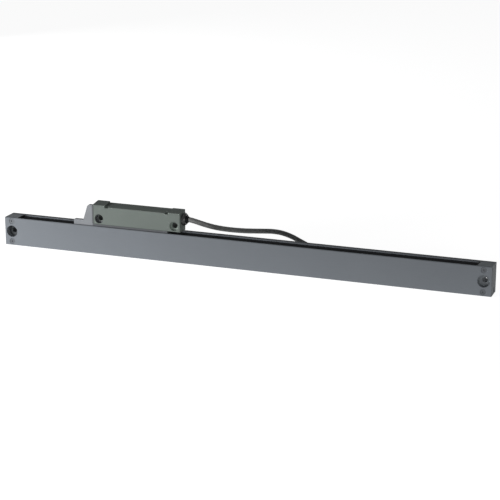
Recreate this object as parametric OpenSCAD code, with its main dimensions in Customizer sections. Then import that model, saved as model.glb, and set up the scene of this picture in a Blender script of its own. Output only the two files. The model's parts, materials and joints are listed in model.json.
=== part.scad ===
// Enclosed linear glass scale with a sliding reader head.
// X runs along the scale, the front face looks towards -Y and the back face (+Y) is bolted to the machine.
// The origin is under the middle of the housing, on the surface it stands on.

/* [Housing] */
// Length of the housing extrusion
scale_l = 436; // [400:1:800]
// Depth of the housing, front face to mounting face
scale_d = 16; // [16:0.5:20]
// Height of the housing
scale_h = 25; // [25:0.5:30]
// Thickness of the front wall beside the chamber
front_wall = 1.6; // [1.4:0.1:1.8]
// Thickness of the back wall
back_wall = 2; // [1.6:0.1:2.2]
// Thickness of the floor of the chamber
floor_t = 2; // [1.6:0.1:2.4]
// Thickness of the front wall beside the seal channel
rim_t = 1; // [0.8:0.1:1.3]
// Width of the top land behind the seal channel
land_w = 3.7; // [3.3:0.1:4]
// Depth of the open channel above the seals
channel_h = 1.1; // [0.9:0.1:1.6]
// Thickness of the ledges that carry the seals
ledge_t = 2; // [1.8:0.1:2.2]
// Width of the throat between the ledges
throat_w = 6.4; // [6:0.1:6.8]
// Rounding of the housing's long edges
edge_r = 0.4; // [0.2:0.1:0.8]

/* [End fittings] */
// Length of each end plug
plug_l = 12; // [11.8:0.2:16]
// Thickness of the rubber gasket on the inner face of a plug
gasket_t = 1; // [0.6:0.1:2]
// Distance of the fixing holes from the ends of the housing
fixing_in = 6.5; // [5.9:0.1:7]
// Diameter of the fixing bolt clearance hole
fixing_d = 4.5; // [4.5:0.1:6.6]
// Diameter of the fixing bolt counterbore
fixing_cb_d = 10.4; // [9:0.1:11]
// Depth of the fixing bolt counterbore
fixing_cb_h = 5; // [4:0.1:8]
// Distance of the plug screws above and below the fixing hole
plug_screw_z = 9.2; // [8.9:0.1:9.6]
// Thread diameter of the plug screws
plug_screw_d = 3; // [2:0.1:3.2]
// Diameter of the countersinks of the plug screws
plug_head_d = 5.5; // [4.6:0.1:5.8]
// Depth of the heads of the plug screws below the face
plug_sink = 0.6; // [0.2:0.1:0.7]
// Length of the plug screws under the housing's front face
plug_screw_l = 6; // [4:0.5:6]

/* [Seals] */
// Thickness of the seal strips on the ledges
seal_t = 0.8; // [0.6:0.1:1]
// Width of the rib that anchors a seal in its ledge
seal_rib_w = 0.9; // [0.6:0.1:1]
// Depth of that rib
seal_rib_h = 1.3; // [0.8:0.1:1.5]
// Height by which the lip tips hang below the strip
lip_drop = 0.6; // [0.3:0.1:0.8]
// Thickness of the lip tips
lip_tip_t = 0.4; // [0.3:0.1:0.5]

/* [Glass scale] */
// Thickness of the glass
glass_t = 2.5; // [2:0.1:2.8]
// Height of the glass
glass_h = 12.4; // [11:0.2:12.4]
// Depth of the groove that holds the glass
seat_h = 3; // [2:0.2:3.4]
// Thickness of the elastomer under the glass
seat_floor_t = 1; // [0.6:0.1:1]
// Thickness of the elastomer on each face of the glass
seat_side_t = 0.3; // [0.2:0.1:0.4]
// Thickness of the ribs on both sides of the glass groove
seat_rib_t = 1.3; // [1:0.1:1.5]
// Distance from the middle of the seal gap to the front face of the glass
glass_shift = 1.35; // [1.1:0.05:1.5]
// Height of the graduated track
track_h = 5; // [3:0.5:6]
// Thickness of the graduated track
track_t = 0.1; // [0.05:0.05:0.15]

/* [Reader bracket] */
// Place of the middle of the foot along the scale
foot_x = -107; // [-150:1:60]
// Length of the foot
foot_l = 88; // [80:1:100]
// Thickness of the bracket plate
plate_t = 3; // [2.8:0.1:3.2]
// Height of the foot above the housing
foot_h = 4.4; // [3.4:0.1:6]
// Gap between the foot and the channel around it
foot_gap = 0.5; // [0.4:0.1:0.7]
// Length of the blade that passes between the seals
blade_l = 72; // [62:1:76]
// Thickness of the blade
blade_t = 1.5; // [1.2:0.1:1.6]
// Gap between the blade and each lip tip
blade_gap = 0.2; // [0.1:0.05:0.3]
// Width of the plate beside the reader box, at the top
column_top_w = 5.6; // [4:0.2:9]
// Width of the plate beside the reader box, at the foot
column_foot_w = 9.6; // [9:0.2:13]
// Depth of the plate's top below the top of the reader box
column_drop = 2.1; // [0:0.1:3]

/* [Reader box] */
// Length of the reader box
box_l = 82; // [78:1:96]
// Depth of the reader box
box_d = 12; // [11.6:0.2:14]
// Height of the reader box at its back
box_h = 18.5; // [18:0.1:22]
// Height by which the box top slopes down towards the front
box_fall = 1.5; // [0.8:0.1:1.8]
// Distance of the box front behind the housing front
box_back = 0.5; // [0.3:0.1:0.8]
// Gap between the housing top and the box
box_lift = 1.8; // [1.8:0.1:3]
// Length of the box that overhangs the right end of the foot
box_over = 12.6; // [12.5:0.1:16]
// Length of the raised pad at each end of the box top
pad_l = 11.3; // [11:0.1:13]
// Height of the left pad above the cover
left_pad_h = 1.1; // [0.5:0.1:1.2]
// Height of the right pad above the cover
right_pad_h = 0.5; // [0.2:0.1:0.5]
// Thickness of the top cover
cover_t = 1; // [0.8:0.1:1.4]
// Gap between the cover and each pad
cover_gap = 0.3; // [0.2:0.1:0.6]
// Side of the square notches in the corners of the cover
cover_notch = 3; // [2:0.1:3.4]
// Rounding of the upright edges of the box
box_r = 1.2; // [0.4:0.1:1.3]
// Diameter of the mounting screw hole
head_hole_d = 4.5; // [4:0.1:4.6]
// Diameter of its counterbore
head_cb_d = 8; // [7.2:0.1:8.2]
// Depth of its counterbore
head_cb_h = 3; // [2.4:0.1:3.2]
// Distance between the two mounting holes
head_pitch = 70; // [68:0.5:70]
// Height of the mounting holes above the bottom of the box
head_hole_z = 5; // [5:0.1:5.4]

/* [Scanning carriage] */
// Diameter of the guide rollers
roller_d = 4; // [3.6:0.1:4.2]
// Width of the guide rollers
roller_w = 1.8; // [1.4:0.1:2]
// Bore of the guide rollers
axle_d = 1.5; // [1.2:0.1:1.6]
// Distance between the two outer rollers
roller_pitch = 40; // [38:1:46]
// Gap between the rollers and the glass
roller_gap = 0.1; // [0.05:0.05:0.15]

/* [Cable] */
// Diameter of the cable
cable_d = 4.4; // [4:0.1:4.6]
// Width of the gland nut across its flats
gland_af = 10; // [8.5:0.5:10]
// Height of the gland above the bottom of the box
gland_z = 10.6; // [10.6:0.1:11.4]

/* [Hidden] */
$fn = 48;
EPS = 0.01;
SLIP = 0.05;            // clearance of parts that are fixed together
RUN = 0.03;             // radial running fit of a roller on its axle

// Levels and planes of the housing
front_y = -scale_d / 2;
back_y = scale_d / 2;
channel_y0 = front_y + rim_t;
channel_y1 = back_y - land_w;
slot_y = (channel_y0 + channel_y1) / 2;
throat_y0 = slot_y - throat_w / 2;
throat_y1 = slot_y + throat_w / 2;
chamber_y0 = front_y + front_wall;
chamber_y1 = back_y - back_wall;
channel_z = scale_h - channel_h;
seal_z = channel_z - seal_t;
ledge_z = seal_z - ledge_t;
end_x = scale_l / 2;
fixing_x = end_x - fixing_in;
fixing_z = scale_h / 2;
plug_x = end_x - plug_l;
gasket_x = plug_x - gasket_t;

// Glass and its groove
glass_y0 = slot_y + glass_shift;
glass_y1 = glass_y0 + glass_t;
glass_z0 = floor_t + seat_floor_t;
glass_z1 = glass_z0 + glass_h;
glass_x = gasket_x - 0.5;
groove_y0 = glass_y0 - seat_side_t;
groove_y1 = glass_y1 + seat_side_t;
track_z = glass_z1 - 3.8;
seal_gap = blade_t + 2 * blade_gap;
front_rib_y = throat_y0 - 0.75 - seal_rib_w;
rear_rib_y = throat_y1 + 0.75;

// Bracket
plate_y0 = channel_y0 + foot_gap;
plate_y1 = plate_y0 + plate_t;
foot_z0 = channel_z + foot_gap;
foot_z1 = scale_h + foot_h;
flange_z1 = scale_h + box_lift - 0.3;
foot_x0 = foot_x - foot_l / 2;
foot_x1 = foot_x + foot_l / 2;
blade_y0 = slot_y - blade_t / 2;
blade_y1 = slot_y + blade_t / 2;

// Reader box
box_y0 = front_y + box_back;
box_y1 = box_y0 + box_d;
box_x1 = foot_x1 + box_over;
box_x0 = box_x1 - box_l;
box_z0 = scale_h + box_lift;
box_z1 = box_z0 + box_h;
box_bevel = 0.3;
seat_drop = left_pad_h + cover_t;
seat_z = box_z1 - box_fall - seat_drop;
cover_x0 = box_x0 + pad_l;
cover_x1 = box_x1 - pad_l;
kerf_y0 = plate_y0 - SLIP;
kerf_y1 = plate_y1 + SLIP;
web_z1 = seat_z - 0.6;
cavity_x0 = box_x0 + 20;
cavity_x1 = foot_x1 - 6;
cavity_y0 = kerf_y1 + 1;
cavity_y1 = box_y1 - 1.4;
cavity_z0 = box_z0 + 1.6;
head_z = box_z0 + head_hole_z;
head_x1 = box_x1 - 6.1;
head_x0 = head_x1 - head_pitch;
head_seat_y = box_y0 + head_cb_h;

// Screws that hold the bracket plate in the box, from behind
plate_screw_d = 2.5;
plate_screws = [
    [head_x0, web_z1 - 2.2],
    [cavity_x0 - 4.5, head_z],
    [foot_x1 - 3, web_z1 - 2.2]
];

// Circuit board in the box
board_t = 1.2;
board_y = (cavity_y0 + cavity_y1) / 2;
board_x0 = cavity_x0 - 1;
board_x1 = cavity_x1 + 1;
board_z1 = seat_z - 0.8;
chip_in = 12;
chip_l = 9;
chip_h = 6;
chip_t = 1.2;
small_chip_in = 27;
small_chip_l = 5;
chip_y = board_y + board_t / 2;
chip_z = cavity_z0 + 3;

// Scanning carriage, hung on the glass under the blade
ear_l = 1.1;
roller_r = roller_d / 2;
axle_r = axle_d / 2;
pocket_r = roller_r + 0.35;
arm_gap = 0.4;
scan_x = foot_x;
side_x = roller_pitch / 2;
wing_x = side_x + 6;
core_x = side_x - 6;
arm_y0 = chamber_y0 + arm_gap;
arm_y1 = glass_y0 - arm_gap;
arm_z0 = floor_t + seat_h + 0.5;
face_roller_y = glass_y0 - roller_gap - roller_r;
face_roller_z = glass_z1 - 2.2;
low_roller_z = arm_z0 + roller_w / 2 + 1;
edge_roller_y = (glass_y0 + glass_y1) / 2;
edge_roller_z = glass_z1 + roller_gap + roller_r;
low_axle_z1 = low_roller_z + roller_w / 2 + 0.6;
ear_y0 = edge_roller_y - roller_w / 2 - 0.3 - ear_l;
ear_y1 = edge_roller_y + roller_w / 2 + 0.3 + ear_l;
bridge_z0 = glass_z1 + 0.3;
bridge_z1 = bridge_z0 + 1.6;
lens_r = 1.9;
led_r = 1.5;
reticle_y0 = glass_y1 + track_t + 0.2;
reticle_t = 0.6;
rear_y0 = glass_y1 + arm_gap + track_t;
detector_t = 0.8;
rear_y1 = chamber_y1 - arm_gap - detector_t;
rear_x = 11;

// Coupling wire between the blade and the carriage
wire_r = 0.4;
wire_y = slot_y - wire_r;
wire_z = bridge_z1 + 1.2;
blade_z0 = wire_z + 1;
wire_x0 = scan_x - side_x - 9;
wire_x1 = scan_x + 9;
lug_l = 4;

// Gland and connector
gland_y = (box_y0 + box_y1) / 2;
gland_axis_z = box_z0 + gland_z;
gland_x0 = foot_x1 + 1;
gland_flange_t = 0.8;
gland_nut_l = 2.8;
gland_sleeve_l = 1.6;
gland_stem_r = cable_d / 2 + 0.7;
wiring_r = 1.6;
cable_exit_x = box_x1 + gland_flange_t + gland_nut_l + gland_sleeve_l;
connector_y = 18.6;
connector_z = 7.5;
connector_x1 = 62;
connector_l = 44;
boot_l = 13;
socket_x = 34;
shell_x = 30;
shell_r = 6.8;
barrel_r = 5.9;
nut_l = 12;
nut_r = 7.5;
pin_circle_r = 3.2;
pin_r = 0.5;

// Route of the cable from the gland to the hank, and from the hank to the connector
lead_route = [
    [cable_exit_x, gland_y, gland_axis_z],
    [-43.3, gland_y, 37.2],
    [-38.5, -1.3, 36.2],
    [-32, 0.8, 33.9],
    [-26, 5, 31.3],
    [-21, 12, 28.4],
    [-16.5, 20.5, 25.6],
    [-12.5, 30, 22.8],
    [-8.5, 40, 20.1],
    [-4.5, 50, 17.7],
    [0, 60, 15.4],
    [5.5, 68, 13.6],
    [12.5, 73, 11.6],
    [21, 75, 8.6],
    [30.5, 73, 5.4],
    [40, 68, 3.6],
    [50, 61.5, 2.9],
    [60, 55.5, 2.9],
    [72, 50.7, 2.9],
    [88, 48.7, 2.9]
];
tail_route = [
    [88, 13.3, 7.3],
    [79, 14, 7.3],
    [71, 16.6, 7.4],
    [connector_x1, connector_y, connector_z]
];
hank_x0 = 88;
hank_run = 20 * cable_d;
hank_x1 = hank_x0 + hank_run;
hank_y = 31;
hank_z0 = 0.7;
hank_w = 39.8;
hank_h = 8.8;
tie_t = 0.7;
tie_w = 8;

// ---------- helpers ----------

// Solid box between two opposite corners
module span(low, high) {
    translate(low) cube(high - low);
}

// Extrudes an outline drawn in Y and Z along X
module along_x(x0, x1) {
    translate([x0, 0, 0]) rotate([90, 0, 90]) linear_extrude(x1 - x0) children();
}

// Extrudes an outline drawn in X and Z along Y
module along_y(y0, y1) {
    translate([0, y1, 0]) rotate([90, 0, 0]) linear_extrude(y1 - y0) children();
}

module rod_x(x0, x1, y, z, r) {
    translate([x0, y, z]) rotate([0, 90, 0]) cylinder(h = x1 - x0, r = r);
}

module rod_y(y0, y1, x, z, r) {
    translate([x, y1, z]) rotate([90, 0, 0]) cylinder(h = y1 - y0, r = r);
}

module rod_z(z0, z1, x, y, r) {
    translate([x, y, z0]) cylinder(h = z1 - z0, r = r);
}

// Rectangle between two corners with rounded corners
module round_rect(low, high, r) {
    translate(low + [r, 0]) square([high[0] - low[0] - 2 * r, high[1] - low[1]]);
    translate(low + [0, r]) square([high[0] - low[0], high[1] - low[1] - 2 * r]);
    for (x = [low[0] + r, high[0] - r])
        for (y = [low[1] + r, high[1] - r])
            translate([x, y]) circle(r);
}

// Countersunk screw whose head lies in the plane y = head_y and whose tip points along dir (+1 or -1) in Y
module countersunk_screw(x, z, head_y, dir, d, head_d, l, slack) {
    head_h = (head_d - d) / 2;
    translate([x, head_y, z]) rotate([-90 * dir, 0, 0]) {
        cylinder(h = head_h, r1 = head_d / 2 + slack, r2 = d / 2 + slack);
        cylinder(h = l, r = d / 2 + slack);
    }
}

// Hexagonal key recess for such a screw
module key_recess(x, z, head_y, dir, af, depth) {
    translate([x, head_y - dir * EPS, z]) rotate([-90 * dir, 0, 0])
        cylinder(h = depth + EPS, r = af / sqrt(3), $fn = 6);
}

// ---------- housing and what it holds ----------

module housing_profile() {
    difference() {
        round_rect([front_y, 0], [back_y, scale_h], edge_r);
        translate([chamber_y0, floor_t]) square([chamber_y1 - chamber_y0, ledge_z - floor_t]);
        translate([throat_y0, ledge_z - EPS]) square([throat_w, seal_z - ledge_z + 2 * EPS]);
        translate([channel_y0, seal_z]) square([channel_y1 - channel_y0, scale_h]);
        for (y = [front_rib_y, rear_rib_y])
            translate([y, seal_z - seal_rib_h]) square([seal_rib_w, seal_rib_h + EPS]);
    }
    translate([groove_y0 - seat_rib_t, floor_t - EPS]) square([seat_rib_t, seat_h + EPS]);
    translate([groove_y1, floor_t - EPS]) square([seat_rib_t, seat_h + EPS]);
}

module fixing_holes(through_r, bore_r) {
    for (x = [-fixing_x, fixing_x]) {
        rod_y(front_y - 1, back_y + 1, x, fixing_z, through_r);
        rod_y(front_y - 1, front_y + fixing_cb_h, x, fixing_z, bore_r);
    }
}

module plug_screw_holes(slack) {
    for (x = [-fixing_x, fixing_x])
        for (z = [fixing_z - plug_screw_z, fixing_z + plug_screw_z])
            countersunk_screw(x, z, front_y, 1, plug_screw_d, plug_head_d, plug_screw_l + 0.3, slack);
}

module housing() {
    color("#8f949b") difference() {
        along_x(-end_x, end_x) housing_profile();
        fixing_holes(fixing_d / 2, fixing_cb_d / 2);
        plug_screw_holes(SLIP);
    }
}

// The clear section of the extrusion, which plugs and gaskets fill
module inner_profile(seam) {
    difference() {
        union() {
            translate([chamber_y0 + seam, floor_t + seam])
                square([chamber_y1 - chamber_y0 - 2 * seam, ledge_z - floor_t - 2 * seam]);
            translate([throat_y0 + seam, ledge_z - 1]) square([throat_w - 2 * seam, seal_z - ledge_z + 2]);
            translate([channel_y0 + seam, seal_z + seam])
                square([channel_y1 - channel_y0 - 2 * seam, scale_h - seal_z - seam]);
        }
        translate([groove_y0 - seat_rib_t - seam, floor_t])
            square([groove_y1 - groove_y0 + 2 * seat_rib_t + 2 * seam, seat_h + seam]);
    }
}

module end_plug(side) {
    x0 = side < 0 ? -end_x : plug_x;
    color("#85898d") difference() {
        along_x(x0, x0 + plug_l) inner_profile(SLIP);
        fixing_holes(fixing_d / 2, fixing_cb_d / 2);
        plug_screw_holes(SLIP);
    }
}

module end_gasket(side) {
    x0 = side < 0 ? -plug_x : gasket_x;
    color("#1d1d1f") along_x(x0, x0 + gasket_t) inner_profile(SLIP);
}

module plug_screws() {
    color("#6d7073") for (x = [-fixing_x, fixing_x])
        for (z = [fixing_z - plug_screw_z, fixing_z + plug_screw_z])
            difference() {
                countersunk_screw(x, z, front_y + plug_sink, 1, plug_screw_d, plug_head_d - 2 * plug_sink,
                    plug_screw_l - plug_sink, 0);
                key_recess(x, z, front_y + plug_sink, 1, 2, 0.6);
            }
}

// Seal strip on a ledge: wall_y at the channel wall, ledge_y at the edge of the throat, tip_y at the lip
module seal_profile(wall_y, ledge_y, tip_y, rib_y) {
    polygon([
        [wall_y, seal_z],
        [wall_y, channel_z],
        [ledge_y, channel_z],
        [tip_y, channel_z - lip_drop],
        [tip_y, channel_z - lip_drop - lip_tip_t],
        [ledge_y, seal_z]
    ]);
    translate([rib_y, seal_z - seal_rib_h]) square([seal_rib_w, seal_rib_h + EPS]);
}

module front_lip_seal() {
    color("#17181a") along_x(-gasket_x, gasket_x)
        seal_profile(channel_y0, throat_y0, slot_y - seal_gap / 2, front_rib_y);
}

module rear_lip_seal() {
    color("#17181a") along_x(-gasket_x, gasket_x)
        seal_profile(channel_y1, throat_y1, slot_y + seal_gap / 2, rear_rib_y);
}

module glass_scale() {
    color("#b9d6d2", 0.6) span([-glass_x, glass_y0, glass_z0], [glass_x, glass_y1, glass_z1]);
}

module graduated_track() {
    color("#7d7f70") span([-glass_x + 4, glass_y1, track_z - track_h / 2],
        [glass_x - 4, glass_y1 + track_t, track_z + track_h / 2]);
}

module glass_seat() {
    color("#2a2b2d") difference() {
        span([-glass_x, groove_y0, floor_t], [glass_x, groove_y1, floor_t + seat_h]);
        span([-glass_x - 1, glass_y0, glass_z0], [glass_x + 1, glass_y1, scale_h]);
    }
}

// ---------- bracket and reader box ----------

// Outline of the upright plate: foot, sloped column beside the box and web inside it
module plate_outline() {
    column_x = box_x0 - column_foot_w;
    top_x = box_x0 - column_top_w;
    column_z1 = box_z1 - column_drop;
    difference() {
        polygon([
            [foot_x0, foot_z0],
            [foot_x1, foot_z0],
            [foot_x1, web_z1],
            [box_x0 - SLIP, web_z1],
            [box_x0 - SLIP, column_z1],
            [top_x + 1.4, column_z1],
            [top_x, column_z1 - 1.2],
            [column_x, foot_z1],
            [foot_x0 + 0.6, foot_z1],
            [foot_x0, foot_z1 - 0.6]
        ]);
        translate([head_x0, head_z]) circle(head_hole_d / 2 + 0.6);
    }
}

module carriage_bracket() {
    color("#979a9e") difference() {
        union() {
            along_y(plate_y0, plate_y1) plate_outline();
            span([foot_x0, plate_y1 - EPS, foot_z0], [foot_x1, blade_y1, flange_z1]);
            blade();
        }
        rod_y(plate_y0 - 1, head_seat_y, head_x0, head_z, head_cb_d / 2 + 0.1);
        for (p = plate_screws)
            rod_y(plate_y0 + 0.8, plate_y1 + 1, p[0], p[1], plate_screw_d / 2 + SLIP / 2);
        rod_x(wire_x0 - 1, wire_x0 + lug_l + 1, wire_y, wire_z, wire_r + EPS);
    }
}

// Blade between the seals, with sword-shaped ends and a lug for the coupling wire
module blade() {
    nose = 8;
    intersection() {
        span([foot_x - blade_l / 2, blade_y0, blade_z0], [foot_x + blade_l / 2, blade_y1, foot_z0 + EPS]);
        translate([0, 0, blade_z0]) linear_extrude(scale_h) polygon([
            [foot_x - blade_l / 2, slot_y - 0.2],
            [foot_x - blade_l / 2 + nose, blade_y0],
            [foot_x + blade_l / 2 - nose, blade_y0],
            [foot_x + blade_l / 2, slot_y - 0.2],
            [foot_x + blade_l / 2, slot_y + 0.2],
            [foot_x + blade_l / 2 - nose, blade_y1],
            [foot_x - blade_l / 2 + nose, blade_y1],
            [foot_x - blade_l / 2, slot_y + 0.2]
        ]);
    }
    span([wire_x0, wire_y - 0.9, wire_z - 0.9], [wire_x0 + lug_l, blade_y1, blade_z0 + 0.6]);
}

// Height of the sloping box top, or of a plane drop below it, at a depth y
function box_top(y, drop) = box_z1 - drop - box_fall * (box_y1 - y) / box_d;

// End view of the box with its top lowered by drop and its long edges bevelled
module box_profile(drop) {
    polygon([
        [box_y0, box_z0 + box_bevel],
        [box_y0 + box_bevel, box_z0],
        [box_y1 - box_bevel, box_z0],
        [box_y1, box_z0 + box_bevel],
        [box_y1, box_top(box_y1, drop) - box_bevel],
        [box_y1 - box_bevel, box_top(box_y1 - box_bevel, drop)],
        [box_y0 + box_bevel, box_top(box_y0 + box_bevel, drop)],
        [box_y0, box_top(box_y0, drop) - box_bevel]
    ]);
}

// Everything above the plane that lies drop below the box top
module above_top(drop) {
    polygon([
        [box_y0 - 1, box_top(box_y0 - 1, drop)],
        [box_y1 + 1, box_top(box_y1 + 1, drop)],
        [box_y1 + 1, box_z1 + 1],
        [box_y0 - 1, box_z1 + 1]
    ]);
}

module box_shell() {
    intersection() {
        union() {
            along_x(box_x0, cover_x1) box_profile(0);
            along_x(cover_x1, box_x1) box_profile(left_pad_h - right_pad_h);
        }
        translate([0, 0, box_z0]) linear_extrude(box_h)
            round_rect([box_x0, box_y0], [box_x1, box_y1], box_r);
    }
}

module reader_box() {
    color("#767d79") difference() {
        box_shell();
        // lowered middle of the top, which takes the cover
        along_x(cover_x0, cover_x1) above_top(seat_drop);
        // kerf that the bracket plate slides into from the left
        span([box_x0 - 1, kerf_y0, box_z0 - 1], [foot_x1 + 2 * SLIP, kerf_y1, web_z1 + 0.2]);
        // room for the circuit board
        span([cavity_x0, cavity_y0, cavity_z0], [cavity_x1, cavity_y1, box_z1]);
        span([board_x0 - SLIP, board_y - board_t / 2 - SLIP, cavity_z0],
            [board_x1 + SLIP, board_y + board_t / 2 + SLIP, box_z1]);
        for (x = [head_x0, head_x1]) {
            rod_y(box_y0 - 1, box_y1 + 1, x, head_z, head_hole_d / 2);
            rod_y(box_y0 - 1, head_seat_y, x, head_z, head_cb_d / 2);
        }
        for (p = plate_screws)
            countersunk_screw(p[0], p[1], box_y1, -1, plate_screw_d, 2 * plate_screw_d, box_y1 - plate_y1, SLIP);
        rod_x(gland_x0, box_x1 + 1, gland_y, gland_axis_z, gland_stem_r + SLIP);
        rod_x(cavity_x1 - 1, gland_x0 + 1, gland_y, gland_axis_z, wiring_r);
    }
}

module top_cover() {
    x0 = cover_x0 + cover_gap;
    x1 = cover_x1 - cover_gap;
    color("#6a716d") difference() {
        along_x(x0, x1) intersection() {
            box_profile(left_pad_h);
            above_top(seat_drop);
        }
        for (x = [x0, x1])
            for (y = [box_y0, box_y1])
                span([x - cover_notch, y - cover_notch, seat_z - 1], [x + cover_notch, y + cover_notch, box_z1 + 1]);
    }
}

module bracket_screws() {
    color("#55585b") for (p = plate_screws)
        difference() {
            countersunk_screw(p[0], p[1], box_y1, -1, plate_screw_d, 2 * plate_screw_d,
                box_y1 - plate_y0 - 1, 0);
            key_recess(p[0], p[1], box_y1, -1, 1.5, 0.8);
        }
}

module head_board() {
    color("#2f5d3a") span([board_x0, board_y - board_t / 2, cavity_z0],
        [board_x1, board_y + board_t / 2, board_z1]);
    color("#202224") {
        span([board_x0 + chip_in, chip_y, chip_z], [board_x0 + chip_in + chip_l, chip_y + chip_t, chip_z + chip_h]);
        span([board_x0 + small_chip_in, chip_y, chip_z],
            [board_x0 + small_chip_in + small_chip_l, chip_y + chip_t, chip_z + small_chip_l]);
    }
}

// ---------- scanning carriage ----------

module scanning_carriage() {
    color("#4b4e52") difference() {
        union() {
            span([scan_x - core_x, arm_y0, arm_z0], [scan_x + core_x, arm_y1, bridge_z1]);
            span([scan_x - wing_x, arm_y0, face_roller_z - 2.4], [scan_x + wing_x, arm_y1, bridge_z1]);
            span([scan_x - wing_x, arm_y0, bridge_z0], [scan_x + wing_x, rear_y1, bridge_z1]);
            span([scan_x - rear_x, rear_y0, arm_z0], [scan_x + rear_x, rear_y1, bridge_z1]);
            for (s = [-1, 1])
                rod_y(ear_y0, ear_y1, scan_x + s * side_x, edge_roller_z, axle_r + 0.8);
            span([wire_x1 - lug_l, wire_y - 0.9, bridge_z1 - 0.5], [wire_x1, wire_y + 0.9, wire_z + 0.8]);
        }
        // pockets of the two face rollers, the low roller and the two edge rollers
        for (s = [-1, 1]) {
            rod_z(face_roller_z - roller_w / 2 - 0.2, face_roller_z + roller_w / 2 + 0.2,
                scan_x + s * side_x, face_roller_y, pocket_r);
            rod_z(face_roller_z - 3, bridge_z1 - 0.8, scan_x + s * side_x, face_roller_y, axle_r + EPS);
            rod_y(edge_roller_y - roller_w / 2 - 0.3, edge_roller_y + roller_w / 2 + 0.3,
                scan_x + s * side_x, edge_roller_z, pocket_r);
            rod_y(ear_y0 - 1, ear_y1 + 1, scan_x + s * side_x, edge_roller_z, axle_r + EPS);
        }
        rod_z(low_roller_z - roller_w / 2 - 0.2, low_roller_z + roller_w / 2 + 0.2,
            scan_x, face_roller_y, pocket_r);
        rod_z(arm_z0 - 1, low_axle_z1, scan_x, face_roller_y, axle_r + EPS);
        // optical path: lamp bore, lens bore, window and reticle seat
        rod_y(arm_y0 - 1, arm_y1 - 2.4, scan_x, track_z, led_r + SLIP);
        rod_y(arm_y1 - 2.5, arm_y1 + 1, scan_x, track_z, lens_r + SLIP);
        span([scan_x - 3, rear_y0 - 1, track_z - 2], [scan_x + 3, rear_y1 + 1, track_z + 2]);
        span([scan_x - 4.5 - SLIP, rear_y0 - 1, track_z - 3 - SLIP],
            [scan_x + 4.5 + SLIP, reticle_y0 + reticle_t, track_z + 3 + SLIP]);
        rod_x(wire_x1 - lug_l - 1, wire_x1 + 1, wire_y, wire_z, wire_r + EPS);
    }
}

module lamp() {
    color("#d8d2c0") {
        rod_y(arm_y0 + 0.2, arm_y1 - 3.4, scan_x, track_z, led_r);
        translate([scan_x, arm_y1 - 3.4, track_z]) scale([1, 0.6, 1]) sphere(led_r);
    }
}

module collimator_lens() {
    color("#cfe3e6", 0.7) intersection() {
        rod_y(arm_y1 - 1.8, arm_y1 - 0.1, scan_x, track_z, lens_r);
        translate([scan_x, arm_y1 - 0.1 - 4, track_z]) sphere(4, $fn = 64);
    }
}

module index_reticle() {
    color("#b4c9a8", 0.7) span([scan_x - 4.5, reticle_y0, track_z - 3],
        [scan_x + 4.5, reticle_y0 + reticle_t - EPS, track_z + 3]);
}

module detector_board() {
    color("#3a6b44") span([scan_x - rear_x, rear_y1, arm_z0 + 1],
        [scan_x + rear_x, rear_y1 + detector_t, bridge_z1]);
    color("#26282b") for (x = [-1.9, 0.1])
        span([scan_x + x, rear_y1 - 0.4, track_z - 1.6], [scan_x + x + 1.8, rear_y1 + EPS, track_z + 1.6]);
}

module roller_axles() {
    color("#b8babd") {
        for (s = [-1, 1]) {
            rod_z(face_roller_z - 2.2, bridge_z1 - 1, scan_x + s * side_x, face_roller_y, axle_r);
            rod_y(ear_y0 + 0.1, ear_y1 - 0.1, scan_x + s * side_x, edge_roller_z, axle_r);
        }
        rod_z(arm_z0 + 0.1, low_axle_z1 - 0.05, scan_x, face_roller_y, axle_r);
    }
}

module coupling_wire() {
    color("#a9acae") rod_x(wire_x0 + 0.2, wire_x1 - 0.2, wire_y, wire_z, wire_r);
}

// Ball-bearing roller: outer ring with a shallow groove between it and the inner ring
module roller() {
    color("#c4c6c8") rotate_extrude() difference() {
        translate([axle_r + RUN, -roller_w / 2]) square([roller_r - axle_r - RUN, roller_w]);
        for (z = [-roller_w / 2, roller_w / 2])
            translate([(axle_r + roller_r) / 2, z]) circle(0.22, $fn = 24);
    }
}

module edge_roller(side) {
    translate([scan_x + side * side_x, edge_roller_y, edge_roller_z]) rotate([90, 0, 0]) roller();
}

module face_roller(side) {
    translate([scan_x + side * side_x, face_roller_y, face_roller_z]) roller();
}

module face_roller_low() {
    translate([scan_x, face_roller_y, low_roller_z]) roller();
}

// ---------- gland, cable and connector ----------

module gland_body() {
    color("#1c1d1e") difference() {
        union() {
            rod_x(box_x1, box_x1 + gland_flange_t, gland_y, gland_axis_z, gland_af / 2 - 0.2);
            rod_x(gland_x0 + SLIP, box_x1 + EPS, gland_y, gland_axis_z, gland_stem_r);
        }
        rod_x(gland_x0 - 1, box_x1 + 2, gland_y, gland_axis_z, cable_d / 2 + SLIP);
    }
}

module gland_nut() {
    x0 = box_x1 + gland_flange_t;
    color("#1c1d1e") difference() {
        intersection() {
            translate([x0, gland_y, gland_axis_z]) rotate([0, 90, 0]) rotate([0, 0, 90])
                cylinder(h = gland_nut_l, r = gland_af / sqrt(3), $fn = 6);
            translate([x0, gland_y, gland_axis_z]) rotate([0, 90, 0])
                cylinder(h = gland_nut_l, r1 = gland_af / 2 + 1.4, r2 = gland_af / 2 - 0.6);
        }
        rod_x(x0 - 1, x0 + gland_nut_l + 1, gland_y, gland_axis_z, cable_d / 2 + 0.6);
    }
}

module gland_sleeve() {
    x0 = box_x1 + gland_flange_t;
    color("#151616") difference() {
        union() {
            rod_x(x0, x0 + gland_nut_l, gland_y, gland_axis_z, cable_d / 2 + 0.6 - SLIP);
            translate([x0 + gland_nut_l, gland_y, gland_axis_z]) rotate([0, 90, 0])
                cylinder(h = gland_sleeve_l, r1 = cable_d / 2 + 1.3, r2 = cable_d / 2 + 0.5);
        }
        rod_x(x0 - 1, x0 + gland_nut_l, gland_y, gland_axis_z, cable_d / 2 + SLIP);
    }
}

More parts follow.
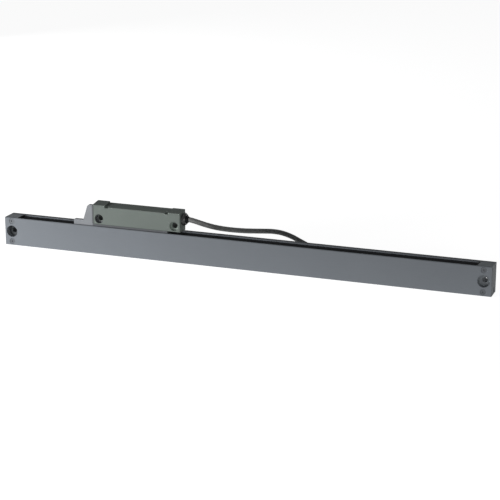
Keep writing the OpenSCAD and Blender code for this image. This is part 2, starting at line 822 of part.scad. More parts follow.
function unit(v) = v / norm(v);
function heading(p, i) = unit(p[min(i + 1, len(p) - 1)] - p[max(i - 1, 0)]);
function ring(c, t, r, sides) =
    let (side = unit(cross(t, [0, 0, 1])), up = cross(side, t))
    [for (k = [0:sides - 1]) c + r * (cos(360 * k / sides) * side + sin(360 * k / sides) * up)];

// Round tube swept through a list of points
module tube(route, d, sides) {
    n = len(route);
    rings = [for (i = [0:n - 1]) each ring(route[i], heading(route, i), d / 2, sides)];
    walls = [for (i = [0:n - 2]) for (k = [0:sides - 1])
        let (a = i * sides + k, b = i * sides + (k + 1) % sides) each [[a, b, b + sides], [a, b + sides, a + sides]]];
    caps = [[for (k = [sides - 1:-1:0]) k], [for (k = [0:sides - 1]) (n - 1) * sides + k]];
    polyhedron(points = rings, faces = concat(walls, caps));
}

module cable_lead() {
    color("#4d4f50") tube(lead_route, cable_d, 10);
}

module cable_tail() {
    color("#4d4f50") tube(tail_route, cable_d, 10);
}

module cable_hank() {
    r = hank_w / 2;
    color("#4d4f50") translate([0, 0, hank_z0]) linear_extrude(hank_h) {
        translate([hank_x0, hank_y - r]) square([hank_x1 - hank_x0, hank_w]);
        for (x = [hank_x0, hank_x1])
            translate([x, hank_y]) circle(r);
    }
}

module cable_tie() {
    x = (hank_x0 + hank_x1) / 2;
    r = hank_w / 2;
    color("#1b1b1c") along_x(x - tie_w / 2, x + tie_w / 2) difference() {
        round_rect([hank_y - r - tie_t, hank_z0 - tie_t], [hank_y + r + tie_t, hank_z0 + hank_h + tie_t], 1.2);
        translate([hank_y - r, hank_z0]) square([hank_w, hank_h]);
    }
}

// Body of revolution along -X that starts at the cable end of the connector
module turned(profile) {
    translate([connector_x1, connector_y, connector_z]) rotate([0, -90, 0])
        rotate_extrude() polygon(profile);
}

module connector_boot() {
    color("#1a1b1c") turned([
        [0, 0],
        [cable_d / 2 + 1, 0],
        [shell_r - 2.2, boot_l - 3],
        [shell_r - 1.2, boot_l - 3],
        [shell_r - 1.2, boot_l],
        [0, boot_l]
    ]);
}

module connector_shell() {
    color("#a3a6a8") turned([
        [0, boot_l],
        [shell_r - 0.6, boot_l],
        [shell_r, boot_l + 1],
        [shell_r, shell_x],
        [barrel_r, shell_x],
        [barrel_r, connector_l],
        [barrel_r - 0.7, connector_l],
        [barrel_r - 0.7, socket_x],
        [0, socket_x]
    ]);
}

// Coupling nut with grip grooves
module connector_ring() {
    bore_r = barrel_r + 0.1;
    x0 = shell_x + 0.2;
    color("#8e9194") difference() {
        turned([[bore_r, x0], [nut_r, x0], [nut_r, x0 + nut_l - 1], [nut_r - 0.5, x0 + nut_l], [bore_r, x0 + nut_l]]);
        for (a = [0:20:340])
            translate([connector_x1, connector_y, connector_z]) rotate([a, 0, 0])
                rod_x(-x0 - nut_l + 2, -x0 - 1.4, 0, nut_r, 0.4, $fn = 16);
    }
}

module connector_pins() {
    color("#c9a24a") for (a = [0:45:315])
        rod_x(connector_x1 - connector_l + 1.5, connector_x1 - socket_x + EPS,
            connector_y + pin_circle_r * cos(a), connector_z + pin_circle_r * sin(a), pin_r);
}

housing();
end_plug(-1);  // end_plug_left
end_plug(1);  // end_plug_right
end_gasket(-1);  // end_gasket_left
end_gasket(1);  // end_gasket_right
plug_screws();
front_lip_seal();
rear_lip_seal();
glass_scale();
graduated_track();
glass_seat();
carriage_bracket();
reader_box();
top_cover();
bracket_screws();
head_board();
scanning_carriage();
lamp();
collimator_lens();
index_reticle();
detector_board();
roller_axles();
coupling_wire();
edge_roller(-1);  // edge_roller_left
edge_roller(1);  // edge_roller_right
face_roller(-1);  // face_roller_left
face_roller(1);  // face_roller_right
face_roller_low();
gland_body();
gland_nut();
gland_sleeve();
cable_lead();
cable_hank();
cable_tie();
cable_tail();
connector_boot();
connector_shell();
connector_ring();
connector_pins();
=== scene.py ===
"""Looks for an enclosed linear glass scale with a sliding reader head.

Camera, finishes, cable, the corner tabs of the reader's cover, floor and lamps. Lengths are metres.
"""
import json
import math

import bmesh
import bpy
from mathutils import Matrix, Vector


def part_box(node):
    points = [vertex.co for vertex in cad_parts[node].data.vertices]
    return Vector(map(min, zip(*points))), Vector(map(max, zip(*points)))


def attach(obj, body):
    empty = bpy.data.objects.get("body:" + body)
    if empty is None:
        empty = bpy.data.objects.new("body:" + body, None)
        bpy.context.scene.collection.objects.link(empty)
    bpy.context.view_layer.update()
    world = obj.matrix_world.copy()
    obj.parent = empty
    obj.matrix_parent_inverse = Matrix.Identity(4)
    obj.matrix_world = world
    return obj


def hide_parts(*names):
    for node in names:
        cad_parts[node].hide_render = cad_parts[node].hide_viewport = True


MM = 0.001

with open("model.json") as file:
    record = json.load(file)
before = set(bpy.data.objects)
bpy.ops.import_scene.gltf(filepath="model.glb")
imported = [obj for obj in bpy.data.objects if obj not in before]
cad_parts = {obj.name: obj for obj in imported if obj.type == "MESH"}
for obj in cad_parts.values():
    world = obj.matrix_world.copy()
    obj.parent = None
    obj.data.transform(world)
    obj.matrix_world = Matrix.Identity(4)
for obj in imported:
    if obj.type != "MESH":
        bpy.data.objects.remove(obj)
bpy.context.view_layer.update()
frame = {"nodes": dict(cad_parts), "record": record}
nodes = frame["nodes"]


def add_mesh(name, bm):
    """A new object of the shape in bm, which is freed."""
    mesh = bpy.data.meshes.new(name)
    bm.to_mesh(mesh)
    bm.free()
    piece = bpy.data.objects.new(name, mesh)
    bpy.context.scene.collection.objects.link(piece)
    return piece


# ---------------------------------------------------------------- camera

VIEW_AZIMUTH = math.radians(20.448)
VIEW_ELEVATION = math.radians(16.36)
VIEW_TARGET = Vector((12.816, -8.0, 18.21)) * MM
VIEW_DISTANCE = 1368.8 * MM
LENS = 117.83
SENSOR = 36
NEAREST = 10 * MM


def add_camera():
    away = Vector((
        math.sin(VIEW_AZIMUTH) * math.cos(VIEW_ELEVATION),
        -math.cos(VIEW_AZIMUTH) * math.cos(VIEW_ELEVATION),
        math.sin(VIEW_ELEVATION),
    ))
    data = bpy.data.cameras.new("camera")
    data.sensor_width = SENSOR
    data.lens = LENS
    data.clip_start = NEAREST
    camera = bpy.data.objects.new("camera", data)
    camera.location = VIEW_TARGET + VIEW_DISTANCE * away
    camera.rotation_euler = away.to_track_quat("Z", "Y").to_euler()
    bpy.context.scene.collection.objects.link(camera)
    bpy.context.scene.camera = camera


add_camera()


# ---------------------------------------------------------------- shader graph

class Field:
    """A shader socket that takes part in sums, products and mixes like a number."""

    def __init__(self, shade, socket):
        self.shade = shade
        self.socket = socket

    def _math(self, operation, *others):
        node = self.shade.node("ShaderNodeMath", {"operation": operation})
        for slot, value in zip(node.inputs, (self, *others)):
            self.shade.feed(slot, value)
        return Field(self.shade, node.outputs[0])

    def _reflected(self, operation, first):
        node = self.shade.node("ShaderNodeMath", {"operation": operation})
        self.shade.feed(node.inputs[0], first)
        self.shade.feed(node.inputs[1], self)
        return Field(self.shade, node.outputs[0])

    def __add__(self, other):
        return self._math("ADD", other)

    __radd__ = __add__

    def __sub__(self, other):
        return self._math("SUBTRACT", other)

    def __rsub__(self, other):
        return self._reflected("SUBTRACT", other)

    def __mul__(self, other):
        return self._math("MULTIPLY", other)

    __rmul__ = __mul__

    def __truediv__(self, other):
        return self._math("DIVIDE", other)

    def __rtruediv__(self, other):
        return self._reflected("DIVIDE", other)

    def __pow__(self, other):
        return self._math("POWER", other)

    def __abs__(self):
        return self._math("ABSOLUTE")

    def least(self, other):
        return self._math("MINIMUM", other)

    def most(self, other):
        return self._math("MAXIMUM", other)

    def remainder(self, other):
        return self._math("FLOORED_MODULO", other)

    def step(self, low, high):
        """0 below low, 1 above high, smooth between; low may be the larger."""
        node = self.shade.node(
            "ShaderNodeMapRange", {"interpolation_type": "SMOOTHSTEP"},
            {"Value": self, "From Min": low, "From Max": high},
        )
        return Field(self.shade, node.outputs[0])

    def mix(self, first, second):
        """The colour first where the field is 0 and second where it is 1."""
        node = self.shade.node("ShaderNodeMix", {"data_type": "RGBA"})
        self.shade.feed(node.inputs[0], self)
        self.shade.feed(node.inputs[6], first)
        self.shade.feed(node.inputs[7], second)
        return Field(self.shade, node.outputs[2])


class Shade:
    """A procedural material: a Principled surface and the nodes that feed it."""

    def __init__(self, name, **constants):
        self.material = bpy.data.materials.new(name)
        self.material.use_nodes = True
        self.tree = self.material.node_tree
        self.surface = self.tree.nodes["Principled BSDF"]
        self.place = self.node("ShaderNodeTexCoord").outputs["Object"]
        for key, value in constants.items():
            self.surface.inputs[key.replace("_", " ")].default_value = value

    def node(self, kind, settings=None, inputs=None):
        node = self.tree.nodes.new(kind)
        for key, value in (settings or {}).items():
            setattr(node, key, value)
        for key, value in (inputs or {}).items():
            self.feed(node.inputs[key], value)
        return node

    def feed(self, slot, value):
        if isinstance(value, Field):
            value = value.socket
        if isinstance(value, bpy.types.NodeSocket):
            self.tree.links.new(value, slot)
        elif isinstance(value, tuple) and len(value) == 3 and slot.type == "RGBA":
            slot.default_value = (*value, 1)
        else:
            slot.default_value = value

    def axes(self):
        split = self.node("ShaderNodeSeparateXYZ", inputs={0: self.place})
        return [Field(self, out) for out in split.outputs]

    def noise(self, size, stretch=(1, 1, 1), detail=3, rough=0.5, place=None):
        """Noise with features of about size metres, drawn out along an axis by stretch."""
        scale = tuple(1 / (size * s) for s in stretch)
        mapped = self.node("ShaderNodeMapping", inputs={
            "Vector": place or self.place, "Scale": scale,
        })
        noise = self.node("ShaderNodeTexNoise", inputs={
            "Vector": mapped.outputs[0], "Scale": 1, "Detail": detail, "Roughness": rough,
        })
        return Field(self, noise.outputs[0])

    def cells(self, size):
        """Distance from the middles of cells of about size metres."""
        mapped = self.node("ShaderNodeMapping", inputs={
            "Vector": self.place, "Scale": (1 / size,) * 3,
        })
        cells = self.node("ShaderNodeTexVoronoi", inputs={"Vector": mapped.outputs[0], "Scale": 1})
        return Field(self, cells.outputs["Distance"])

    def colour(self, value):
        self.feed(self.surface.inputs["Base Color"], value)

    def rough(self, value):
        self.feed(self.surface.inputs["Roughness"], value)

    def bump(self, height, depth, strength):
        node = self.node("ShaderNodeBump", inputs={
            "Height": height, "Distance": depth, "Strength": strength,
        })
        self.feed(self.surface.inputs["Normal"], node.outputs[0])

    def reach(self, x, z):
        """Distance from the axis of a bore that runs front to back at x and z."""
        across, _, up = self.axes()
        across, up = across - x, up - z
        return (across * across + up * up) ** 0.5

    def edge(self, low, high, width):
        """1 on the edges of the box from low to high, falling to 0 within width."""
        # An edge is near where the second least of the distances from the faces is small.
        x, y, z = [
            (b - a) / 2 - abs(axis - (a + b) / 2)
            for axis, a, b in zip(self.axes(), low, high)
        ]
        second = x + y + z - x.least(y).least(z) - x.most(y).most(z)
        return second.step(width, 0)


def srgb(r, g, b):
    """A colour given in display values from 0 to 255."""
    def linear(v):
        v /= 255
        return v / 12.92 if v <= 0.04045 else ((v + 0.055) / 1.055) ** 2.4
    return (linear(r), linear(g), linear(b))


def times(colour, factor):
    """A colour made lighter or darker by a factor."""
    return tuple(c * factor for c in colour)


def tones(colour, spread):
    """A darker and a lighter tone of a colour, spread apart by a share of it."""
    return times(colour, 1 - spread), times(colour, 1 + spread)


# ---------------------------------------------------------------- painted shade and light

# The masks fade over a few of these widths beside a face, a bore or an edge.
SKIN = 0.1 * MM

# How dark the painted shade is in each place, from 0 none to 1 black.
FRONT_SHADE, BRIM_SHADE, LAND_SHADE = 0.09, 0.25, 0.3
END_FACE_SHADE = 0.45
BESIDE_SHADE, BELOW_SHADE = 0.55, 0.6

# Height of the painted dark band below the top edge.
BRIM_H = 1.2 * MM

# Bores by the x and z of their axes.
LEFT_END_BORE = (-211.5 * MM, 12.5 * MM)
END_BORE_R = 5.2 * MM
END_BORE_DEPTH = 5 * MM
HEAD_BORES = [(-126.5 * MM, 31.8 * MM), (-56.5 * MM, 31.8 * MM)]
HEAD_BORE_R = 4 * MM
HEAD_HOLE_R = 2.25 * MM


def painted_housing_shade(shade):
    """Painted shade on the housing: dark on the lands and the top edge, fading down the front,
    joined with the painted shade of the end faces and the left end bore.
    """
    x, _, z = shade.axes()
    low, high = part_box("housing")
    slot_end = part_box("front_lip_seal")[1][0]
    # Painted shade: the front darkens towards the top, a dark band lies under the top edge, and the
    # lands beside the slot are darker still.
    front = z.step(low[2], high[2]) * FRONT_SHADE
    brim = z.step(high[2] - BRIM_H, high[2] - 2 * SKIN) * BRIM_SHADE
    on_top = z.step(high[2] - 2 * SKIN, high[2] - SKIN)
    land = on_top * abs(x).step(slot_end + 5 * SKIN, slot_end) * LAND_SHADE
    streaks = shade.noise(12 * MM, stretch=(4, 1, 1), detail=4) * 0.3 + 0.85
    painted_dark = (front + brim + land) * streaks
    return painted_dark.most(painted_end_shade(shade)).most(painted_bore_shade(shade))


def painted_end_shade(shade):
    """Painted shade on the cut face at each end of the housing."""
    x, _, _ = shade.axes()
    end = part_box("housing")[1][0]
    return abs(x).step(end - 3 * SKIN, end - SKIN) * END_FACE_SHADE


def painted_bore_shade(shade):
    """Painted shade on the floor of the left end counterbore, where the housing and its plug meet.
    """
    _, y, _ = shade.axes()
    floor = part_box("housing")[0][1] + END_BORE_DEPTH
    inside = shade.reach(*LEFT_END_BORE).step(END_BORE_R + 2 * SKIN, END_BORE_R)
    at_floor = y.step(floor - 4 * SKIN, floor - SKIN)
    return inside * at_floor * (shade.noise(1.2 * MM, detail=3) * 0.4 + 0.55)


def painted_plug_shade(shade):
    """Painted shade on the cut ends of both end plugs, and on the floor of the bore that ends on
    the left one.
    """
    return painted_end_shade(shade).most(painted_bore_shade(shade))


def painted_joint_shadow(shade):
    """Painted shadow on the bracket beside and below the box that is bolted on it."""
    x, _, z = shade.axes()
    left, _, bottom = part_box("reader_box")[0]
    beside = x.step(left - 1.6 * MM, left - 0.6 * MM) * z.step(bottom - 2 * SKIN, bottom + 4 * SKIN)
    below = x.step(left - 1.2 * MM, left - 0.2 * MM) * z.step(bottom + 2 * SKIN, bottom - 2 * SKIN)
    return (beside * BESIDE_SHADE).most(below * BELOW_SHADE)


def painted_seam_shade(shade, left, bottom):
    """Painted shade mask: 1 along the left and lower edges of the box, where it meets the bracket.
    """
    x, _, z = shade.axes()
    beside = x.step(left + 1.4 * MM, left + 0.8 * MM)
    below = z.step(bottom + 0.7 * MM, bottom + 0.2 * MM)
    return beside.most(below)


def lit_bores_and_shaded_holes(shade, face_y):
    """Masks of the counterbores, bare metal cut after the coat and painted lighter as if lit, and
    of the holes in them, painted dark as shade.
    """
    _, y, _ = shade.axes()
    reaches = [shade.reach(*bore) for bore in HEAD_BORES]
    bare_lit_bores = sum(reach.step(HEAD_BORE_R + 2 * SKIN, HEAD_BORE_R + SKIN) for reach in reaches)
    shaded_holes = sum(reach.step(HEAD_HOLE_R + 3 * SKIN, HEAD_HOLE_R + SKIN) for reach in reaches)
    sunk = y.step(face_y + SKIN, face_y + 4 * SKIN)
    return bare_lit_bores * sunk, shaded_holes * sunk


# ---------------------------------------------------------------- finishes

def anodised(name, colour, drawn, metal=0.1, rough=0.5, painted_shade=None):
    """Satin anodised aluminium with faint marks drawn out along one axis, and painted shade where
    told.
    """
    shade = Shade(name, Metallic=metal, Specular_IOR_Level=0.06)
    marks = shade.noise(0.4 * MM, stretch=drawn, detail=2)
    cloud = shade.noise(35 * MM, detail=4)
    grain = shade.noise(0.25 * MM, detail=2)
    dark, light = tones(colour, 0.10)
    tone = (marks * 0.45 + cloud * 0.35 + grain * 0.2).mix(dark, light)
    # Painted shade: the colour darkens where the mask is high.
    if painted_shade:
        tone = painted_shade(shade).mix(tone, times(colour, 0.12))
    shade.colour(tone)
    shade.rough(marks * 0.10 + cloud * 0.08 + (rough - 0.09))
    shade.bump(marks * 0.6 + grain * 0.4, 0.02 * MM, 0.35)
    return shade.material


def powder_coat(name, colour, box):
    """Satin powder coat with a fine orange peel, rubbed lighter along the edges of the box.

    The counterbores in its front are bare metal, painted lighter as if lit, with painted shade in
    their holes, and painted shade runs along its left and lower edges.
    """
    low, high = box
    shade = Shade(name, Specular_IOR_Level=0.05)
    peel = shade.noise(0.6 * MM, detail=2)
    cloud = shade.noise(20 * MM, detail=4)
    dust = shade.noise(1.5 * MM, detail=5, rough=0.7).step(0.60, 0.75)
    rubbed = shade.edge(low, high, 0.6 * MM) * shade.noise(3 * MM, detail=3).step(0.3, 0.65)
    bare_lit_bores, shaded_holes = lit_bores_and_shaded_holes(shade, low[1])
    dark, light = tones(colour, 0.08)
    tone = (cloud * 0.7 + peel * 0.3).mix(dark, light)
    tone = (rubbed * 0.35).mix(tone, times(colour, 1.7))
    tone = (dust * 0.12).mix(tone, times(colour, 1.4))
    # Painted shade along the box's left and lower edges, where it meets the bracket.
    tone = (painted_seam_shade(shade, low[0], low[2]) * 0.45).mix(tone, times(colour, 0.1))
    # Painted light and shade in the counterbores: bare metal there is made lighter to stand for
    # light on their walls, and the holes are darkened as shade.
    tone = bare_lit_bores.mix(tone, times(colour, 1.7))
    tone = shaded_holes.mix(tone, times(colour, 0.3))
    shade.colour(tone)
    shade.rough(cloud * 0.10 + peel * 0.08 + 0.36)
    shade.bump(peel, 0.03 * MM, 0.5)
    return shade.material


def elastomer(name, colour):
    """Matt rubber with a little dust in its grain."""
    shade = Shade(name, Specular_IOR_Level=0.1)
    grain = shade.noise(0.5 * MM, detail=3)
    cloud = shade.noise(12 * MM, stretch=(3, 1, 1), detail=4)
    dark, light = tones(colour, 0.25)
    tone = (cloud * 0.6 + grain * 0.4).mix(dark, light)
    bloom = cloud.step(0.55, 0.8) * 0.2
    shade.colour(bloom.mix(tone, tuple(c * 2.2 + 0.01 for c in colour)))
    shade.rough(grain * 0.15 + 0.55)
    shade.bump(grain, 0.04 * MM, 0.5)
    return shade.material


def moulded(name, colour, rough):
    """Moulded plastic with an eroded satin skin."""
    shade = Shade(name, Specular_IOR_Level=0.5)
    skin = shade.cells(0.4 * MM)
    cloud = shade.noise(6 * MM, detail=3)
    dark, light = tones(colour, 0.2)
    shade.colour(cloud.mix(dark, light))
    shade.rough(cloud * 0.12 + (rough - 0.06))
    shade.bump(skin, 0.02 * MM, 0.4)
    return shade.material


def turned_metal(name, colour, rough, metal=1.0):
    """Turned or drawn metal with fine marks and a little tarnish."""
    shade = Shade(name, Metallic=metal)
    marks = shade.noise(0.25 * MM, stretch=(0.6, 1, 1), detail=2)
    stain = shade.noise(3 * MM, detail=4)
    dark, light = tones(colour, 0.12)
    shade.colour((marks * 0.4 + stain * 0.6).mix(dark, light))
    shade.rough(marks * 0.12 + stain.step(0.5, 0.8) * 0.12 + (rough - 0.08))
    shade.bump(marks, 0.01 * MM, 0.3)
    return shade.material


def clear_glass(name, colour, rough=0.04):
    """Ground glass block, with faint smears."""
    shade = Shade(name, IOR=1.52, Transmission_Weight=0.85)
    smear = shade.noise(10 * MM, stretch=(3, 1, 1), detail=4)
    dark, light = tones(colour, 0.04)
    shade.colour(smear.mix(dark, light))
    shade.rough(smear.step(0.5, 0.8) * 0.06 + rough)
    return shade.material


TRACK_LINES_H = 3.5 * MM
MARK_HALF_L = 1.4 * MM
MARK_PITCH = 0.3 * MM
BETWEEN_LINES = srgb(46, 50, 44)
CHROME_DULL, CHROME_BRIGHT = srgb(178, 180, 172), srgb(205, 206, 200)


def graduation(name, pitch):
    """Chrome track: its fine lines below, and a reference mark above the middle of its length."""
    shade = Shade(name, Metallic=0.9)
    x, _, z = shade.axes()
    lines_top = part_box("graduated_track")[0][2] + TRACK_LINES_H
    lines = abs((x / pitch).remainder(1) - 0.5).step(0.2, 0.3)
    upper = (z - lines_top).step(-SKIN, SKIN)
    centred = abs(x).step(MARK_HALF_L + 2 * SKIN, MARK_HALF_L - 2 * SKIN)
    mark = centred * abs((x / MARK_PITCH).remainder(1) - 0.5).step(0.15, 0.35)
    chrome = lines * (1 - upper) + mark * upper
    tarnish = shade.noise(10 * MM, detail=4)
    shade.colour(chrome.mix(BETWEEN_LINES, tarnish.mix(CHROME_DULL, CHROME_BRIGHT)))
    shade.rough(tarnish * 0.1 + 0.18)
    return shade.material


BOARD_TRACK_PITCH = 1.3 * MM


def laminate(name, colour):
    """Circuit board with solder mask over its tracks."""
    shade = Shade(name, Specular_IOR_Level=0.5)
    _, _, z = shade.axes()
    tracks = abs((z / BOARD_TRACK_PITCH).remainder(1) - 0.5).step(0.12, 0.2)
    breaks = shade.noise(4 * MM, stretch=(2, 1, 0.4), detail=1).step(0.48, 0.52)
    dark, light = tones(colour, 0.35)
    shade.colour((tracks * breaks).mix(dark, light))
    shade.rough(tracks * 0.1 + 0.3)
    shade.bump(tracks * breaks, 0.04 * MM, 0.6)
    return shade.material


def jacket(name, colour):
    """Cable jacket: streaks along the cable from its extrusion, mottled by handling.

    Its patterns run on the jacket's own map, so their sizes are in turns and in diameters.
    """
    shade = Shade(name, Specular_IOR_Level=0.4)
    unwrapped = shade.node("ShaderNodeUVMap", {"uv_map": "jacket"}).outputs[0]
    streaks = shade.noise(0.10, stretch=(1, 8, 1), detail=3, place=unwrapped)
    mottle = shade.noise(0.5, stretch=(1, 1.5, 1), detail=4, rough=0.65, place=unwrapped)
    dark, light = tones(colour, 0.55)
    tone = (streaks * 0.55 + mottle * 0.45).step(0.27, 0.63).mix(dark, light)
    shade.colour(tone)
    shade.rough(mottle * 0.2 + 0.38)
    shade.bump(streaks * 0.5 + mottle * 0.5, 0.08 * MM, 0.5)
    return shade.material


ALUMINIUM = srgb(138, 143, 149)
PLUG_ALUMINIUM = srgb(142, 147, 151)
BRACKET_ALUMINIUM = srgb(149, 152, 156)
CARRIAGE_GREY = srgb(84, 87, 92)
BOX_GREY = srgb(130, 138, 133)
NICKEL = srgb(176, 178, 180)
STEEL = srgb(96, 99, 103)
BRASS = srgb(214, 176, 92)
GLASS_GREEN = srgb(214, 234, 226)
LAMP_AMBER = srgb(232, 222, 196)
RUBBER_BLACK = srgb(30, 31, 33)
GLAND_BLACK = srgb(34, 34, 34)
BOARD_GREEN = srgb(38, 92, 52)
JACKET_GREY = srgb(110, 111, 110)
LINE_PITCH = 0.5 * MM

materials = {
    # The housing, the plugs and the bracket darken with painted shade.
    "housing_anodised": anodised(
        "housing_anodised", ALUMINIUM, (60, 1, 1), painted_shade=painted_housing_shade,
    ),
    "plug_metal": anodised(
        "plug_metal", PLUG_ALUMINIUM, (1, 1, 20), metal=0.2, painted_shade=painted_plug_shade,
    ),
    "bracket_metal": anodised(
        "bracket_metal", BRACKET_ALUMINIUM, (30, 1, 1), rough=0.45, painted_shade=painted_joint_shadow,
    ),
    "box_paint": powder_coat("box_paint", BOX_GREY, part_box("reader_box")),
    "carriage_metal": anodised("carriage_metal", CARRIAGE_GREY, (20, 1, 1), rough=0.45),
    "connector_metal": turned_metal("connector_metal", NICKEL, 0.3),
    "screw_steel": turned_metal("screw_steel", STEEL, 0.4, metal=0.6),
    "track_chrome": graduation("track_chrome", LINE_PITCH),
    "pin_brass": turned_metal("pin_brass", BRASS, 0.22),
    "scale_glass": clear_glass("scale_glass", GLASS_GREEN),
    "seal_rubber": elastomer("seal_rubber", RUBBER_BLACK),
    "gland_black": moulded("gland_black", GLAND_BLACK, 0.3),
    "lamp_plastic": clear_glass("lamp_plastic", LAMP_AMBER, 0.08),
    "board_laminate": laminate("board_laminate", BOARD_GREEN),
    "cable_jacket": jacket("cable_jacket", JACKET_GREY),
}

for subpart in frame["record"]["subparts"]:
    mesh = nodes[subpart["node"]].data
    mesh.materials.clear()
    mesh.materials.append(materials[subpart["material_slot"]])


# ---------------------------------------------------------------- cable

CABLE_D = 4.4 * MM
CABLE_SIDES = 20

# Route in millimetres: from the gland down behind the housing, round the hank, to the connector.
LEAD_ROUTE = [
    (-45.1, -1.5, 37.4), (-43.3, -1.5, 37.2), (-38.5, -1.3, 36.2), (-32, 0.8, 33.9),
    (-26, 5, 31.3), (-21, 12, 28.4), (-16.5, 20.5, 25.6), (-12.5, 30, 22.8),
    (-8.5, 40, 20.1), (-4.5, 50, 17.7), (0, 60, 15.4), (5.5, 68, 13.6),
    (12.5, 73, 11.6), (21, 75, 8.6), (30.5, 73, 5.4), (40, 68, 3.6),
    (50, 61.5, 2.9), (60, 55.5, 2.9), (72, 50.7, 2.9), (88, 48.7, 2.9),
]
TAIL_ROUTE = [(88, 13.3, 7.3), (79, 14, 7.3), (71, 16.6, 7.4), (62, 18.6, 7.5)]
ROUTE_STEP, HANK_STEP = 2, 3
HANK_X = (88, 176)
HANK_Y = 31
INNER_R, OUTER_R = 13.2, 17.7
LOWER_Z, UPPER_Z = 2.9, 7.3


def smooth_line(points, step):
    """Points about step apart on a smooth curve through the given ones."""
    points = [Vector(p) for p in points]
    line = []
    for i in range(len(points) - 1):
        before = points[max(i - 1, 0)]
        a, b = points[i], points[i + 1]
        after = points[min(i + 2, len(points) - 1)]
        count = max(1, round((b - a).length / step))
        for k in range(count):
            t = k / count
            line.append(0.5 * (
                2 * a + (b - before) * t + (2 * before - 5 * a + 4 * b - after) * t * t
                + (3 * a - before - 3 * b + after) * t ** 3
            ))
    line.append(points[-1])
    return line


def ease(t, start, end):
    """Smooth rise from 0 at start to 1 at end."""
    t = min(1, max(0, (t - start) / (end - start)))
    return t * t * (3 - 2 * t)


def hank_line(step):
    """Two and a half turns round the hank: lower outer, lower inner, then the upper layer."""
    left, right = HANK_X
    run = right - left
    wide = OUTER_R - INNER_R
    high = UPPER_Z - LOWER_Z

    def back(radius, z):
        return [(left + t * run, HANK_Y + radius(t), z(t)) for t in spread(run)]

    def front(radius, z):
        return [(right - t * run, HANK_Y - radius(t), z(t)) for t in spread(run)]

    def turn(x, side, radius, z):
        half_turn = [math.pi * t for t in spread(math.pi * radius)]
        return [
            (x + side * radius * math.sin(a), HANK_Y + side * radius * math.cos(a), z)
            for a in half_turn
        ]

    def spread(length):
        count = max(6, round(length / step))
        return [k / count for k in range(count)]

    line = []
    line += back(lambda t: OUTER_R, lambda t: LOWER_Z)
    line += turn(right, 1, OUTER_R, LOWER_Z)
    line += front(lambda t: OUTER_R - wide * ease(t, 0.5, 1), lambda t: LOWER_Z)
    line += turn(left, -1, INNER_R, LOWER_Z)
    line += back(lambda t: INNER_R, lambda t: LOWER_Z)
    line += turn(right, 1, INNER_R, LOWER_Z)
    line += front(lambda t: INNER_R, lambda t: LOWER_Z + high * ease(t, 0, 0.5))
    line += turn(left, -1, INNER_R, UPPER_Z)
    line += back(lambda t: INNER_R + wide * ease(t, 0, 1), lambda t: UPPER_Z)
    line += turn(right, 1, OUTER_R, UPPER_Z)
    line += front(lambda t: OUTER_R, lambda t: UPPER_Z)
    return [Vector(p) for p in line]


def add_tube(name, line, diameter, sides):
    """Round tube along a line, unwrapped in turns round it and in diameters along it."""
    bm = bmesh.new()
    unwrap = bm.loops.layers.uv.new("jacket")
    side = Vector((0, 0, 1))
    rings = []
    runs = [0.0]
    for i, point in enumerate(line):
        ahead = (line[min(i + 1, len(line) - 1)] - line[max(i - 1, 0)]).normalized()
        side = (side - ahead * side.dot(ahead)).normalized()
        up = ahead.cross(side)
        rings.append([
            bm.verts.new(point + diameter / 2 * (math.cos(a) * side + math.sin(a) * up))
            for a in (2 * math.pi * k / sides for k in range(sides))
        ])
        if i:
            runs.append(runs[-1] + (point - line[i - 1]).length / diameter)
    for i in range(len(rings) - 1):
        for k in range(sides):
            j = (k + 1) % sides
            face = bm.faces.new((rings[i][k], rings[i][j], rings[i + 1][j], rings[i + 1][k]))
            face.smooth = True
            for loop, (u, v) in zip(face.loops, ((k, i), (k + 1, i), (k + 1, i + 1), (k, i + 1))):
                loop[unwrap].uv = (u / sides, runs[v])
    bm.faces.new(reversed(rings[0]))
    bm.faces.new(rings[-1])
    bmesh.ops.recalc_face_normals(bm, faces=bm.faces)
    return add_mesh(name, bm)


def add_cable():
    lead = smooth_line(LEAD_ROUTE, ROUTE_STEP)[:-1]
    tail = smooth_line(TAIL_ROUTE, ROUTE_STEP)
    line = [point * MM for point in lead + hank_line(HANK_STEP) + tail]
    cable = add_tube("cable", line, CABLE_D, CABLE_SIDES)
    cable.data.materials.append(materials["cable_jacket"])
    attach(cable, "reader")
    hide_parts("cable_lead", "cable_hank", "cable_tail")


add_cable()


# ---------------------------------------------------------------- cover corners

COVER_SLOPE = 1.5 / 12
COVER_NOTCH = 3 * MM
COVER_T = 1 * MM
TAB_SLIP = 0.04 * MM
TAB_PROUD = 0.25 * MM
TAB_ROUND = 0.15 * MM


def add_corner_tabs():
    """Two painted tabs of the box that stand in the rear corner notches of its cover."""
    low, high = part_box("top_cover")
    ends = [
        (low[0] - TAB_PROUD, low[0] + COVER_NOTCH - TAB_SLIP),
        (high[0] - COVER_NOTCH + TAB_SLIP, high[0] + TAB_PROUD),
    ]
    y0, y1 = high[1] - COVER_NOTCH + TAB_SLIP, high[1] - TAB_SLIP
    bm = bmesh.new()
    for x0, x1 in ends:
        corners = bmesh.ops.create_cube(bm, size=1)["verts"]
        for corner in corners:
            x, y, z = (c + 0.5 for c in corner.co)
            y = y0 + y * (y1 - y0)
            top = high[2] - COVER_SLOPE * (high[1] - y)
            corner.co = (x0 + x * (x1 - x0), y, top - (1 - z) * (COVER_T - TAB_SLIP))
    bmesh.ops.bevel(
        bm, geom=list(bm.edges), offset=TAB_ROUND, segments=2, profile=0.5,
        affect="EDGES", material=-1,
    )
    tabs = add_mesh("cover_corner_tabs", bm)
    tabs.data.materials.append(materials["box_paint"])
    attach(tabs, "reader")


add_corner_tabs()


# ---------------------------------------------------------------- floor and light

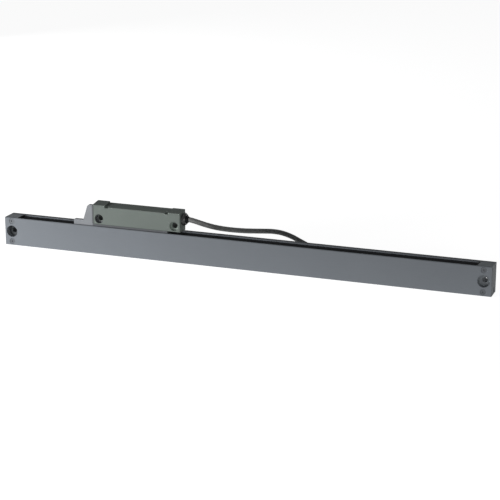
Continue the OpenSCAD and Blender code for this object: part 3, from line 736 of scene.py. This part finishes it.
FLOOR_HALF = 8
FLOOR_WHITE = 0.8
FLOOR_GLOW = 0.92
BACKDROP_GLOW = 0.5
DAYLIGHT = (0.96, 0.98, 1)
DAYLIGHT_STRENGTH = 0.04

# Each lamp: where it stands, where it points, its width and height, and its watts.
LAMPS = {
    "left_key": ((-0.56, -0.55, 0.10), (-0.05, 0, 0.01), (0.3, 0.16), 3.8),
    "right_key": ((0.74, -0.95, 0.14), (-0.05, 0, 0.01), (0.4, 0.24), 2.8),
    "back_fill": ((-1.05, 0.60, 0.08), (0, 0, 0.01), (0.5, 0.12), 8.5),
}


def seen_as_background(tree):
    """1 for the rays that show the background: from the camera, off gloss or through glass."""
    path = tree.nodes.new("ShaderNodeLightPath").outputs
    either = tree.nodes.new("ShaderNodeMath")
    tree.links.new(path["Is Camera Ray"], either.inputs[0])
    tree.links.new(path["Is Glossy Ray"], either.inputs[1])
    any_of = tree.nodes.new("ShaderNodeMath")
    any_of.use_clamp = True
    tree.links.new(either.outputs[0], any_of.inputs[0])
    tree.links.new(path["Is Transmission Ray"], any_of.inputs[1])
    return any_of.outputs[0]


def add_floor():
    bm = bmesh.new()
    bmesh.ops.create_grid(bm, x_segments=1, y_segments=1, size=FLOOR_HALF)
    floor = add_mesh("floor", bm)
    material = bpy.data.materials.new("floor")
    material.use_nodes = True
    tree = material.node_tree
    tree.nodes.clear()
    shadowed = tree.nodes.new("ShaderNodeBsdfDiffuse")
    shadowed.inputs["Color"].default_value = (FLOOR_WHITE,) * 3 + (1,)
    glow = tree.nodes.new("ShaderNodeEmission")
    glow.inputs["Color"].default_value = (FLOOR_GLOW,) * 3 + (1,)
    tree.links.new(seen_as_background(tree), glow.inputs["Strength"])
    both = tree.nodes.new("ShaderNodeAddShader")
    out = tree.nodes.new("ShaderNodeOutputMaterial")
    tree.links.new(shadowed.outputs[0], both.inputs[0])
    tree.links.new(glow.outputs[0], both.inputs[1])
    tree.links.new(both.outputs[0], out.inputs["Surface"])
    floor.data.materials.append(material)


def add_area_light(name, place, target, size, power):
    data = bpy.data.lights.new(name, "AREA")
    data.shape = "RECTANGLE"
    data.size, data.size_y = size
    data.energy = power
    light = bpy.data.objects.new(name, data)
    light.location = place
    light.rotation_euler = (Vector(place) - Vector(target)).to_track_quat("Z", "Y").to_euler()
    bpy.context.scene.collection.objects.link(light)


def add_world():
    world = bpy.data.worlds.new("world")
    world.use_nodes = True
    tree = world.node_tree
    background = tree.nodes["Background"]
    background.inputs["Color"].default_value = (*DAYLIGHT, 1)
    level = tree.nodes.new("ShaderNodeMapRange")
    level.inputs["To Min"].default_value = DAYLIGHT_STRENGTH
    level.inputs["To Max"].default_value = BACKDROP_GLOW
    tree.links.new(seen_as_background(tree), level.inputs["Value"])
    tree.links.new(level.outputs[0], background.inputs["Strength"])
    bpy.context.scene.world = world


add_floor()
add_world()
for lamp, settings in LAMPS.items():
    add_area_light(lamp, *settings)

bpy.context.scene.view_settings.view_transform = "Standard"
